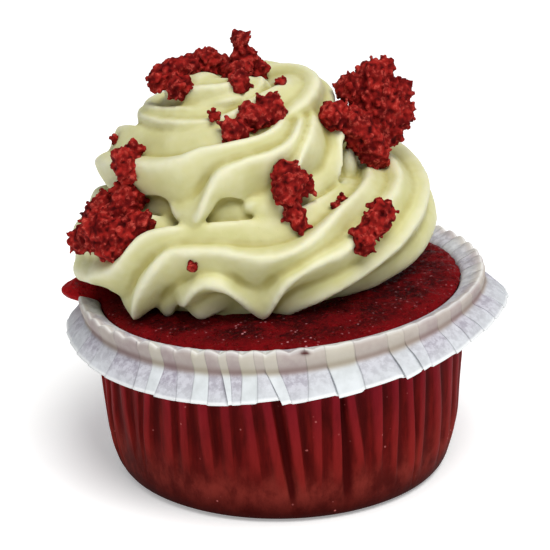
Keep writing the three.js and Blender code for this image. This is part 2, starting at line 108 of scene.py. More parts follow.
def rounded(profile, steps):
    """A profile's corners eased into a curve through the same points, in even steps of length."""
    length = [0.0]
    for (r0, z0), (r1, z1) in zip(profile, profile[1:]):
        length.append(length[-1] + math.hypot(r1 - r0, z1 - z0))
    keys = [(s, r, z) for s, (r, z) in zip(length, profile)]
    radius_at, height_at = curve_of(keys, 1), curve_of(keys, 2)
    at = [length[-1] * i / steps for i in range(steps + 1)]
    return [(max(0.0, radius_at(s)), height_at(s)) for s in at]


# ---- making meshes ----
def spun(profile, columns):
    """A profile of radius and height, turned about +Z from the front."""
    shape = bmesh.new()
    corners = [shape.verts.new((0, -radius, height)) for radius, height in profile]
    for first, second in zip(corners, corners[1:]):
        shape.edges.new((first, second))
    bmesh.ops.spin(
        shape, geom=shape.verts[:] + shape.edges[:], axis=(0, 0, 1), cent=(0, 0, 0),
        angle=TAU, steps=columns, use_merge=True,
    )
    bmesh.ops.remove_doubles(shape, verts=shape.verts, dist=1e-4)
    return shape


def ellipsoid(shape, centre, half, subdivisions):
    """Adds a ball drawn out to half lengths along the three axes."""
    ball = bmesh.ops.create_icosphere(shape, subdivisions=subdivisions, radius=1)["verts"]
    bmesh.ops.scale(shape, vec=half, verts=ball)
    bmesh.ops.translate(shape, vec=centre, verts=ball)


def faced_out(shape):
    """Points the faces of a sheet turned about +Z away from the axis."""
    bmesh.ops.recalc_face_normals(shape, faces=shape.faces)
    shape.normal_update()
    away = 0.0
    for face in shape.faces:
        middle = face.calc_center_median()
        away += face.normal.dot(Vector((middle.x, middle.y, 0))) * face.calc_area()
    if away < 0:
        bmesh.ops.reverse_faces(shape, faces=shape.faces)


def joined(shapes):
    """Several meshes as one, each still a body of its own."""
    whole = bmesh.new()
    for shape in shapes:
        mesh = bpy.data.meshes.new("joining")
        shape.to_mesh(mesh)
        shape.free()
        whole.from_mesh(mesh)
        bpy.data.meshes.remove(mesh)
    return whole


def largest(shape):
    """Drops every loose scrap and sealed hollow of a mesh."""
    unseen = set(shape.verts)
    islands = []
    while unseen:
        island, waiting = set(), [unseen.pop()]
        while waiting:
            corner = waiting.pop()
            island.add(corner)
            for link in corner.link_edges:
                other = link.other_vert(corner)
                if other in unseen:
                    unseen.remove(other)
                    waiting.append(other)
        islands.append(island)
    islands.sort(key=len)
    scraps = [corner for island in islands[:-1] for corner in island]
    bmesh.ops.delete(shape, geom=scraps, context="VERTS")


def linked(name, shape):
    """A mesh as an object of the scene."""
    mesh = bpy.data.meshes.new(name)
    shape.to_mesh(mesh)
    shape.free()
    made = bpy.data.objects.new(name, mesh)
    bpy.context.scene.collection.objects.link(made)
    return made


def piece(name, shape, material, node):
    """A finished mesh, in metres, as an object that rides on the cupcake and stands for a node."""
    bmesh.ops.scale(shape, vec=(MM, MM, MM), verts=shape.verts)
    for face in shape.faces:
        face.smooth = True
    made = linked(name, shape)
    made.data.materials.append(material)
    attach(made, "root")
    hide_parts(node)
    return made


def fused(shape, voxel):
    """The closed bodies of a mesh as one skin, by a voxel remesh."""
    rough = linked("fusing", shape)
    mesh = rough.data
    remesh = rough.modifiers.new("fuse", "REMESH")
    remesh.mode = "VOXEL"
    remesh.voxel_size = voxel
    graph = bpy.context.evaluated_depsgraph_get()
    whole = bmesh.new()
    whole.from_mesh(rough.evaluated_get(graph).to_mesh())
    bpy.data.objects.remove(rough)
    bpy.data.meshes.remove(mesh)
    largest(whole)
    bmesh.ops.recalc_face_normals(whole, faces=whole.faces)
    return whole


def displaced(shape, reach):
    """Moves every corner along its normal by what reach gives for its place and normal."""
    shape.normal_update()
    moves = [(corner, corner.normal * reach(corner.co, corner.normal)) for corner in shape.verts]
    for corner, move in moves:
        corner.co += move


def relaxed(shape):
    """Draws every corner half way to the middle of its neighbours."""
    bmesh.ops.smooth_vert(
        shape, verts=shape.verts, factor=0.5, use_axis_x=True, use_axis_y=True, use_axis_z=True
    )


def tagged(shape, name, value):
    """Keeps a number for every corner's place, for a material to read."""
    layer = shape.verts.layers.float.new(name)
    for corner in shape.verts:
        corner[layer] = value(corner.co)


def hollows(shape, rounds):
    """Keeps how far each corner lies under the skin that smoothing would give, in millimetres."""
    shape.normal_update()
    kept = [corner.co.copy() for corner in shape.verts]
    for _ in range(rounds):
        relaxed(shape)
    layer = shape.verts.layers.float.new("hollow")
    for corner, place in zip(shape.verts, kept):
        corner[layer] = (corner.co - place).dot(corner.normal)
        corner.co = place


# ---- materials ----
def colour(red, green, blue):
    """A screen colour, 0..255, in the linear values that shaders take."""
    return tuple(
        c / 12.92 if c <= 0.04045 else ((c + 0.055) / 1.055) ** 2.4
        for c in (red / 255, green / 255, blue / 255)
    ) + (1.0,)


class Signal:
    """A value that runs through a finish's nodes and takes plain arithmetic."""

    def __init__(self, finish, socket):
        self.finish = finish
        self.socket = socket

    def maths(self, operation, *values):
        settings = {"operation": operation}
        return self.finish.node("ShaderNodeMath", settings, dict(enumerate(values)))

    def __add__(self, other):
        return self.maths("ADD", self, other)

    __radd__ = __add__

    def __sub__(self, other):
        return self.maths("SUBTRACT", self, other)

    def __rsub__(self, other):
        return self.maths("SUBTRACT", other, self)

    def __neg__(self):
        return 0 - self

    def __mul__(self, other):
        return self.maths("MULTIPLY", self, other)

    __rmul__ = __mul__

    def __truediv__(self, other):
        return self.maths("DIVIDE", self, other)

    def between(self, start, end):
        """0 below start, 1 above end and smooth in between."""
        settings = {"interpolation_type": "SMOOTHSTEP", "clamp": True}
        values = {"Value": self, "From Min": start, "From Max": end}
        return self.finish.node("ShaderNodeMapRange", settings, values)


class Finish:
    """A material with one principled shader, and the nodes that feed it."""

    def __init__(self, name, **constants):
        self.material = bpy.data.materials.new(name)
        self.material.use_nodes = True
        self.tree = self.material.node_tree
        self.tree.nodes.clear()
        self.shader = self.tree.nodes.new("ShaderNodeBsdfPrincipled")
        output = self.tree.nodes.new("ShaderNodeOutputMaterial")
        self.tree.links.new(self.shader.outputs[0], output.inputs["Surface"])
        self.done(**constants)

    def node(self, kind, settings, values, output=0):
        made = self.tree.nodes.new(kind)
        for key, value in settings.items():
            setattr(made, key, value)
        for key, value in values.items():
            self.feed(made.inputs[key], value)
        return Signal(self, made.outputs[output])

    def feed(self, socket, value):
        if isinstance(value, Signal):
            self.tree.links.new(value.socket, socket)
        else:
            socket.default_value = value

    def place(self):
        return self.node("ShaderNodeTexCoord", {}, {}, "Object")

    def place_mm(self, axis):
        """One coordinate of the place, in millimetres."""
        return self.node("ShaderNodeSeparateXYZ", {}, {0: self.place()}, axis) / MM

    def tag(self, name):
        return self.node("ShaderNodeAttribute", {"attribute_name": name}, {}, "Fac")

    def mottle(self, size_mm, detail=3.0, rough=0.6, stretch=(1, 1, 1)):
        """Soft noise of that size in 0..1, drawn out along an axis by its stretch."""
        scaled = self.node(
            "ShaderNodeVectorMath", {"operation": "DIVIDE"}, {0: self.place(), 1: stretch}
        )
        values = {
            "Vector": scaled, "Scale": 1 / (size_mm * MM), "Detail": detail, "Roughness": rough,
        }
        return self.node("ShaderNodeTexNoise", {}, values)

    def cells(self, size_mm):
        """The distance to the nearest of scattered points, in shares of that size."""
        values = {"Vector": self.place(), "Scale": 1 / (size_mm * MM)}
        return self.node("ShaderNodeTexVoronoi", {}, values, "Distance")

    def blend(self, factor, first, second):
        settings = {"data_type": "RGBA", "clamp_factor": True}
        return self.node("ShaderNodeMix", settings, {0: factor, 6: first, 7: second}, 2)

    def layered(self, ground, *layers):
        """The ground colour with others laid over it in turn, each as thick as its mask."""
        for mask, tint in layers:
            ground = self.blend(mask, ground, tint)
        return ground

    def bump(self, height, depth_mm, strength, under=None):
        values = {"Height": height, "Distance": depth_mm * MM, "Strength": strength}
        if under is not None:
            values["Normal"] = under
        return self.node("ShaderNodeBump", {}, values)

    def done(self, **inputs):
        """Sets or links the shader's inputs, which are named with _ for their spaces."""
        for name, value in inputs.items():
            self.feed(self.shader.inputs[name.replace("_", " ")], value)
        return self.material


def cream_finish():
    """Whipped cream with painted shade in its grooves, painted highlights on its crests, small
    pocks.
    """
    finish = Finish(
        "whipped_cream", Subsurface_Weight=0.3, Subsurface_Radius=(1.0, 0.75, 0.35),
        Subsurface_Scale=0.9 * MM, Specular_IOR_Level=0.35,
    )
    hollow = finish.tag("hollow")
    soft = finish.mottle(9).between(0.35, 0.7)
    tint = finish.layered(
        finish.blend(soft, colour(196, 193, 136), colour(207, 204, 156)),
        # painted shade in the grooves
        (hollow.between(0.0, 0.4) * 0.9, colour(168, 159, 90)),
        # painted highlights on the crests
        ((-hollow).between(0.0, 0.45) * 0.7, colour(223, 222, 197)),
    )
    normal = finish.bump(finish.mottle(0.7, 4, 0.65), 0.12, 0.35)
    normal = finish.bump(finish.cells(1.3).between(0.0, 0.22), 0.12, 0.25, normal)
    return finish.done(Base_Color=tint, Roughness=0.42 + finish.mottle(2.5) * 0.2, Normal=normal)


def crumb_finish():
    """Dry open crumb: nearly black painted shade in its pits, painted highlights on its grain tips.
    """
    finish = Finish("cake_crumb", Specular_IOR_Level=0.06)
    pit = finish.tag("pit")
    fine = finish.mottle(0.5, 4, 0.7)
    worn = finish.mottle(2.4).between(0.35, 0.65)
    tip_highlight = (-pit).between(0.0, 0.45) * fine.between(0.4, 0.62)
    tint = finish.layered(
        finish.blend(worn, colour(98, 11, 11), colour(154, 32, 27)),
        # painted shade in the pits
        (pit.between(-0.1, 0.75), colour(62, 4, 5)),
        # painted highlights on the raised tips of the grains
        (tip_highlight * 0.65, colour(206, 84, 72)),
    )
    normal = finish.bump(fine, 0.35, 0.6)
    return finish.done(Base_Color=tint, Roughness=0.55 + fine * 0.35, Normal=normal)


def cake_finish():
    """Moist dark red sponge: painted light on its rim and lip, painted glints towards the front."""
    finish = Finish("red_velvet", Specular_IOR_Level=0.08)
    fine = finish.mottle(0.8, 5, 0.7)
    broad = finish.mottle(5).between(0.35, 0.68)
    wet = finish.mottle(1.2, 3, 0.7).between(0.53, 0.58)
    across, deep = finish.place_mm("X"), finish.place_mm("Y")
    front = (-deep).between(20, 30) * (1 - (across * across).between(8 * 8, 20 * 20))
    rim = (across * across + deep * deep).between(29 * 29, 35 * 35)
    lip = (-across).between(34.5, 37)
    glint = (1 - finish.cells(1.1).between(0.12, 0.26)) * finish.mottle(3).between(0.48, 0.6)
    tint = finish.layered(
        finish.blend(broad, colour(54, 0, 3), colour(108, 3, 10)),
        (fine.between(0.48, 0.72) * 0.7, colour(142, 16, 22)),
        # painted light towards the rim, out of the cream's shade
        (rim * 0.6, colour(132, 4, 12)),
        # painted light on the lip, which lies in shade
        (lip * 0.8, colour(180, 18, 24)),
        # painted glints, most of them at the front
        (glint * (0.35 + front * 0.5), colour(222, 150, 156)),
    )
    normal = finish.bump(fine, 0.8, 1.0)
    normal = finish.bump(finish.cells(1.4).between(0.05, 0.4), 0.6, 0.8, normal)
    return finish.done(Base_Color=tint, Roughness=0.8 - wet * 0.65, Normal=normal)


def wall_finish():
    """Greaseproof paper that the moist cake has soaked dark red, with painted highlights on the
    ridges and painted shade in the valleys and at the foot; pinker under the frill, with a few pale
    flecks."""
    finish = Finish("soaked_paper", Specular_IOR_Level=0.02, Coat_Roughness=0.3, Coat_IOR=1.3)
    ridge = finish.tag("ridge")
    height = finish.place_mm("Z")
    cloud = finish.mottle(5, 5, 0.62, (1, 1, 1.6))
    streak = finish.mottle(1.6, 4, 0.6, (1, 1, 5))
    low = finish.blend(cloud.between(0.34, 0.66), colour(74, 15, 11), colour(122, 42, 35))
    side = finish.blend(streak.between(0.32, 0.68), colour(78, 12, 10), colour(108, 20, 18))
    crest = finish.blend(height.between(10, 27), colour(126, 30, 27), colour(140, 28, 38))
    fleck = (1 - finish.cells(2).between(0.06, 0.14)) * finish.mottle(5, 2).between(0.54, 0.6)
    tint = finish.layered(
        finish.blend(height.between(6, 15), low, side),
        # painted highlights on the ridges
        (ridge.between(0.1, 0.95) * (0.3 + streak * 0.9), crest),
        (height.between(20, 34) * 0.5, colour(122, 16, 42)),
        # painted shade in the valleys
        ((-ridge).between(0.1, 1.3) * 0.9, colour(58, 4, 4)),
        # painted shade at the foot
        (1 - height.between(0, 8), colour(46, 2, 1)),
        (fleck * 0.6, colour(206, 116, 112)),
    )
    normal = finish.bump(finish.mottle(0.6, 4, 0.7, (1, 1, 3)), 0.08, 0.35)
    normal = finish.bump(cloud, 0.5, 0.5, normal)
    return finish.done(
        Base_Color=tint, Roughness=0.5 + cloud * 0.2,
        Coat_Weight=height.between(6, 20) * cloud * 0.05, Normal=normal,
    )


def frill_finish():
    """The dry rim of the paper: white where it lies double, greyish and sheer where single. Its
    collar is warmer, its nick darker, its crease in painted shade, its edges in painted highlight."""
    finish = Finish("white_paper", Specular_IOR_Level=0.2)
    sheer = finish.tag("sheer")
    cloud = finish.mottle(1.3, 5, 0.72)
    soft = finish.mottle(4).between(0.3, 0.7)
    double = finish.blend(soft, colour(194, 199, 201), colour(212, 217, 220))
    single = finish.blend(cloud.between(0.4, 0.6), colour(154, 149, 161), colour(190, 188, 198))
    warm = finish.blend(sheer, colour(188, 182, 167), colour(160, 144, 144))
    tint = finish.layered(
        finish.blend(sheer, double, single),
        (finish.tag("collar"), finish.blend(soft * 0.4, warm, colour(196, 190, 182))),
        # painted shade in the crease
        (finish.tag("crease"), finish.blend(sheer, colour(150, 140, 122), colour(118, 92, 92))),
        # painted highlight on the edges
        (finish.tag("edge"), colour(236, 238, 238)),
        (finish.tag("nick"), colour(70, 8, 10)),
    )
    normal = finish.bump(finish.mottle(0.5, 4, 0.7), 0.06, 0.5)
    return finish.done(Base_Color=tint, Roughness=0.66 + cloud * 0.2, Normal=normal)


# ---- paper case ----
PAPER = 0.2
# The bake rose to the right, and the case with it: by this share of the way across at the neck of
# the case, and less and less down to the height where the rise starts.
RISE, RISE_START, NECK_HEIGHT = 0.055, 4, 33.5
# The frill hangs over to the right, higher there, and is lifted at both sides.
FRILL_SHIFT, FRILL_RISE, FRILL_SPREAD, FRILL_SPREAD_POWER = 1.2, 0.03, 3, 1.5
BACK_IN = 1.5  # how far the frill is drawn in behind
# Profiles of radius and height: the foot, the wall, and the face of the frill from the cake's edge
# over the rim to the free edge.
FOOT = [(0, 0), (10, 0), (18, 0), (25, 0), (28.5, 0)]
WALL = [(30, 0), (32, 1), (33.2, 4), (34.1, 10), (34.7, 21), (34.9, NECK_HEIGHT)]
FACE = [
    (34.3, 33.9), (34.9, 35.4), (36.6, 36.3), (38.5, 36.7), (38.95, 35.7), (38.7, 33.6),
    (38.8, 32.4), (40.6, 30.3), (42.5, 28.1),
]
RIM, CREASE = 0.352, 0.6  # shares of the way over that face
FLUTES, SCALLOPS, PLEATS = 48, 58, 52
WALL_ROWS, FLUTE_COLUMNS = 52, 14
FRILL_ROWS, PLEAT_COLUMNS = 40, 18
FLUTE_RELIEF, WALL_DENTS, WALL_IN = 0.42, 0.3, 0.1
SCALLOP_UP, SCALLOP_OUT, SCALLOP_START = 0.85, 0.12, 35.5
TUCK = 0.5  # degrees by which a pleat runs on under the next one
TUCKED = 0.1  # share of a pleat's columns that lie there
NICK_AZIMUTH, NICK_SHARE = 5.6, 0.395
RIDGE_LEVEL, RIDGE_DROP = 22, 12  # height of the azimuths below, and the drop for their moves
Ridge = namedtuple("Ridge", "azimuth move crest valley")
Pleat = namedtuple("Pleat", "at_crease at_edge sheer step higher")
# The wall's ridges across the front, from the left: azimuth, how many degrees it moves on over
# that drop, how far it stands out, and the depth of the valley on its right.
FRONT_RIDGES = [
    (-67, 0, 0.8, 0.8), (-58, 1.5, 0.8, 0.7), (-51, 0, 0.6, 0.6), (-45.7, -2, 1, 0.9),
    (-36.7, -0.5, 0.8, 0.7), (-31.4, 0, 1, 0.9), (-23.9, 1.4, 1.2, 0.9), (-17.1, 0.4, 0.7, 0.8),
    (-9.8, 1.9, 0.8, 0.7), (-3.8, 2.9, 1, 1.5), (3, 2.4, 1.2, 0.8), (10.4, 0.3, 0.8, 0.7),
    (16.5, 0.2, 1.3, 1.5), (21, 3.8, 0.8, 0.8), (29.9, 0.8, 1.1, 0.8), (36.3, 0, 0.8, 0.9),
    (42.6, 2.2, 1, 0.8), (47.9, 0, 0.8, 0.8), (56, 2.3, 1, 0.9), (66, 1, 1, 0.8),
]
# The frill's pleats across the front, from the left: azimuth of the left edge at the crease and
# at the free edge, how sheer the pleat is, how far it stands over the one on its left, and how
# much higher it ends.
FRONT_PLEATS = [
    (-51.9, -51.9, 0.95, 0.2, 0), (-42.4, -41.1, 0.8, 0.2, 0.1), (-38, -37.3, 0.1, 0.2, 0.2),
    (-33.9, -34.5, 1, 0.2, 0), (-30, -28.1, 0.75, 0.15, 0.1), (-24.7, -24.3, 0, 0.25, 0.2),
    (-20.7, -19.9, 0.85, 0.2, 0.1), (-17.1, -14.5, 0, 0.7, 0.5), (-14.9, -13.8, 0.85, 0.15, 0.4),
    (-11.6, -11.7, 0, 0.25, 0.6), (-7.6, -7.7, 0.5, 0.2, 0.9), (-5.2, -1.8, 0.05, 1.1, 0.3),
    (-1.7, 0.5, 0.85, 0.15, 0.1), (5.7, 4.3, 0.5, 0.15, 0.2), (10.9, 11.6, 0.05, 0.9, -0.1),
    (18.8, 18.3, 0.6, 0.3, 0.4), (28.3, 28.8, 0.3, 0.9, 0), (33.5, 33.8, 0.5, 0.7, 0.3),
    (38.5, 36.7, 0.9, 0.2, 0.1), (45.5, 45, 0.6, 0.3, 0), (51.5, 51, 0.9, 0.3, 0.2),
    (57, 57.7, 0.6, 0.3, 0), (64, 64.8, 0.9, 0.3, 0.1), (71.7, 72.4, 0.5, 0.2, 0),
]
BACK_SHEER = (0.5, 0.9, 0.6, 0.4, 0.8)  # in turn, for the pleats that go on round the back
paper_waves = waves(3)
draw = random.Random(5)


def filled_round(kind, front, count, rest):
    """The marks of the front with uneven ones after them, so that count of them go round."""
    last, turn = front[-1][0], 360 + front[0][0] - front[-1][0]
    pitch = turn / (count - len(front) + 1)
    more = [
        rest(i, last + pitch * (i + 1 + 0.2 * (draw.random() - 0.5)))
        for i in range(count - len(front))
    ]
    return [kind(*mark) for mark in front + more]


wall_ridges = filled_round(
    Ridge, FRONT_RIDGES, FLUTES, lambda i, at: (at, 0, 0.8 + 0.2 * (i % 2), 0.8)
)
frill_pleats = filled_round(
    Pleat, FRONT_PLEATS, PLEATS, lambda i, at: (at, at, BACK_SHEER[i % len(BACK_SHEER)], 0.25, 0)
)


def lean(point):
    """Lifts a point on the right, and lowers one on the left, as the bake rose."""
    point.z += RISE * point.x * smooth(RISE_START, NECK_HEIGHT, point.z)


def at_azimuth(azimuth, radius, height):
    """A point from its azimuth in radians, radius and height."""
    return Vector((radius * math.sin(azimuth), -radius * math.cos(azimuth), height))


def paper_wobble(azimuth):
    """The paper's slow unevenness round the case, in -1..1."""
    return paper_waves(4 * math.sin(azimuth), 5 * math.cos(azimuth), math.sin(azimuth * 2))


def span_at(marks, corner):
    """The two marks that a corner of the turned sheet lies between, its share of the way from one
    to the other, and the full turn to add to the second one's azimuth where the count ends."""
    at = (math.atan2(corner.co.x, -corner.co.y) / TAU) % 1 * len(marks) + 1e-4
    i = int(at) % len(marks)
    return marks[i], marks[(i + 1) % len(marks)], at - int(at), 360 if i + 1 == len(marks) else 0


def thicken(made):
    """Gives a sheet of paper its thickness, on the inside."""
    sheet = made.modifiers.new("thickness", "SOLIDIFY")
    sheet.thickness = PAPER * MM
    sheet.offset = -1


def paper_wall():
    """The foot and the fluted wall of the case."""
    shape = spun(FOOT + rounded(WALL, WALL_ROWS), FLUTES * FLUTE_COLUMNS)
    faced_out(shape)
    layer = shape.verts.layers.float.new("ridge")
    for corner in shape.verts:
        radius, height = math.hypot(corner.co.x, corner.co.y), corner.co.z
        if radius < 1e-3:
            continue
        left, right, within, turned = span_at(wall_ridges, corner)
        below = (RIDGE_LEVEL - height) / RIDGE_DROP
        start = left.azimuth + left.move * below
        end = right.azimuth + right.move * below + turned
        degrees = start + (end - start) * within
        azimuth = math.radians(degrees)
        uneven = paper_wobble(azimuth)
        low = smooth(30, 40, degrees)  # on the right the flutes run on down to the foot
        fade = smooth(5 - 3 * low + 3 * uneven, 16 - 7 * low + 3 * uneven, height)
        deep = smooth(1, 8, height) if left.valley > 1 else fade  # the deepest reach the foot
        crest = left.crest * (1 - smooth(0.12, 0.24, within))
        crest += right.crest * smooth(0.55, 0.95, within)
        dip = left.valley * smooth(0.14, 0.3, within) * (1 - smooth(0.4, 0.75, within))
        relief = fade * crest - deep * dip
        dents = grain((corner.co.x, corner.co.y, height * 0.6), 6, 4.0) * smooth(1, 6, height)
        out = FLUTE_RELIEF * relief + WALL_DENTS * dents - WALL_IN
        corner.co = at_azimuth(azimuth, radius + out, height)
        lean(corner.co)
        corner[layer] = relief
    thicken(piece("paper_wall", shape, wall_finish(), "paper_case"))


def row_of(path, radius, height):
    """The number of the profile's point that a corner of the turned sheet comes from."""
    return min(
        range(len(path)), key=lambda k: abs(path[k][0] - radius) + abs(path[k][1] - height)
    )


def paper_frill():
    """The free rim of the case, which turns out over the wall as a pleated skirt."""
    path = rounded(FACE, FRILL_ROWS)
    shape = spun(path, PLEATS * PLEAT_COLUMNS)
    faced_out(shape)
    names = ("sheer", "crease", "collar", "edge", "nick")
    sheer, crease, collar, edge, nick = (shape.verts.layers.float.new(name) for name in names)
    for corner in shape.verts:
        radius, height = math.hypot(corner.co.x, corner.co.y), corner.co.z
        share = row_of(path, radius, height) / FRILL_ROWS
        skirt, hang = smooth(0.5, 0.8, share), smooth(0.15, 1, share)
        at_rim = bell(share, RIM - 0.03, 0.09)
        drift = clamp01((share - CREASE) / (1 - CREASE))
        left, right, within, turned = span_at(frill_pleats, corner)
        start = left.at_crease + (left.at_edge - left.at_crease) * drift
        end = right.at_crease + (right.at_edge - right.at_crease) * drift + turned
        # the pleat runs on under the next one, and folds back there to that one's left edge
        under = 1 - smooth(0, TUCKED, within)
        along = clamp01((within - TUCKED) / (1 - TUCKED))
        tuck = TUCK * skirt * (left.step * under + right.step * along)
        degrees = start + tuck + (end - start) * along
        azimuth = math.radians(degrees)
        lap = left.step * (0.5 - under) * (1 - along) - right.step * 0.5 * along
        higher = left.higher + (right.higher - left.higher) * smooth(0.85, 1, along)
        uneven = paper_wobble(azimuth)
        scallop = abs(math.sin(math.radians(degrees + SCALLOP_START) * SCALLOPS / 2))
        flat = 0.7 * smooth(0, 15, degrees) * (1 - smooth(60, 90, degrees))  # at the front right
        out = 0.15 * lap * at_rim + skirt * (lap + 0.45 * uneven)
        out += SCALLOP_OUT * (scallop - 0.5) * at_rim
        up = SCALLOP_UP * (1 - flat) * (scallop - 0.65) * at_rim + skirt * (higher - 0.3 * uneven)
        back = smooth(75, 105, degrees) * (1 - smooth(235, 265, degrees))
        out -= BACK_IN * back * hang * (0.3 + 0.7 * abs(math.sin(azimuth)))
        corner.co = at_azimuth(azimuth, radius + out, height + up)
        lean(corner.co)
        spread = FRILL_SPREAD * abs(math.sin(azimuth)) ** FRILL_SPREAD_POWER * (1 - 0.7 * back)
        corner.co.z += hang * (FRILL_RISE * corner.co.x + spread)
        corner.co.x += FRILL_SHIFT * hang
        corner[sheer] = left.sheer * (1 - 0.45 * smooth(0.75, 0.95, share))
        corner[collar] = smooth(0.2, 0.37, share) * (1 - smooth(0.58, 0.68, share))
        # where the painted shade of the crease and the painted highlight of the edges lie
        corner[crease] = 0.8 * bell(share, CREASE, 0.05)
        corner[edge] = smooth(0.955, 0.99, share) + 0.6 * bell(share, RIM, 0.025)
        near_nick = bell(degrees, NICK_AZIMUTH, 1.1) * bell(share, NICK_SHARE, 0.022)
        corner[nick] = clamp01(1.6 * near_nick)
    thicken(piece("paper_frill", shape, frill_finish(), "paper_case"))


# ---- cake ----
CAKE_SIDE = [(0, 0.8), (29, 0.8), (31.5, 3.2), (32.9, 12), (33.5, 33.4)]
DOME = [(34.6, 35.1), (33, 35.9), (30, 36.3), (26, 36.7), (17, 37.2), (0, 37.6)]
DOME_STEPS, CAKE_COLUMNS, CAKE_VOXEL = 40, 240, 0.5
LIP_CENTRE, LIP_HALF = (-35.8, 1, 34.4), (6.4, 4.8, 2.1)


def cake():
    """The sponge, with a craggy top and the lip that baked over the paper at the left."""
    shape = spun(CAKE_SIDE + rounded(DOME, DOME_STEPS), CAKE_COLUMNS)
    bmesh.ops.recalc_face_normals(shape, faces=shape.faces)
    for corner in shape.verts:
        lean(corner.co)
    ellipsoid(shape, LIP_CENTRE, LIP_HALF, subdivisions=4)
    shape = fused(shape, CAKE_VOXEL)

    def crags(point, normal):
        top = smooth(33, 35.5, point.z - RISE * point.x) * smooth(0.2, 0.7, normal.z)
        broad = 0.3 * grain(point, 6, 3.0)
        middle = 0.25 * grain(point, 2, 9.0)
        return top * (broad + middle + 0.12 * grain(point, 0.9, 5.0))

    displaced(shape, crags)
    piece("cake_top", shape, cake_finish(), "cake")


# ---- piped cream ----
SWIRL = Vector((-4.8, 4.5, 0))
# Turn, radius of the path, height, radius of the rope, depth of its grooves.
ROPE = [
    (-0.12, 25.0, 44.5, 7.5, 0.12), (0.0, 25.0, 44.5, 9.2, 0.14), (0.08, 25.3, 44.8, 9.6, 0.2),
    (0.13, 24.8, 45.2, 9.5, 0.24), (0.18, 23.0, 45.9, 9.1, 0.25), (0.22, 22.2, 46.3, 9.1, 0.25),
    (0.25, 22.2, 46.5, 9.1, 0.25), (0.3, 22.4, 46.8, 9.3, 0.25), (0.4, 23.6, 48.0, 9.6, 0.2),
    (0.5, 24.8, 49.0, 10.0, 0.18), (0.75, 23.0, 52.0, 10.0, 0.16), (0.95, 20.5, 55.4, 9.6, 0.16),
    (1.05, 19.8, 57.2, 9.5, 0.2), (1.15, 18.4, 59.0, 9.3, 0.25), (1.25, 16.4, 60.4, 9.1, 0.28),
    (1.37, 12.8, 61.8, 8.2, 0.25), (1.5, 10.2, 63.2, 7.6, 0.2), (1.75, 12.4, 64.2, 7.0, 0.16),
    (1.9, 15.4, 64.6, 6.2, 0.18), (2.0, 16.2, 65.2, 5.8, 0.2), (2.1, 13.8, 65.8, 5.9, 0.2),
    (2.25, 8.6, 66.8, 6.4, 0.2), (2.5, 9.6, 69.6, 6.0, 0.16), (2.75, 7.4, 69.8, 6.0, 0.16),
    (3.0, 11.8, 71.2, 4.8, 0.16), (3.12, 9.0, 71.9, 4.3, 0.16), (3.25, 4.4, 72.5, 3.6, 0.14),
    (3.35, 2.0, 73.2, 2.4, 0.1),
]
ROPE_JOINTS = [-0.12, 0.6, 1.3, 2.0, 2.65, 3.35]
STEPS_A_TURN, RIDGE_COLUMNS = 170, 14
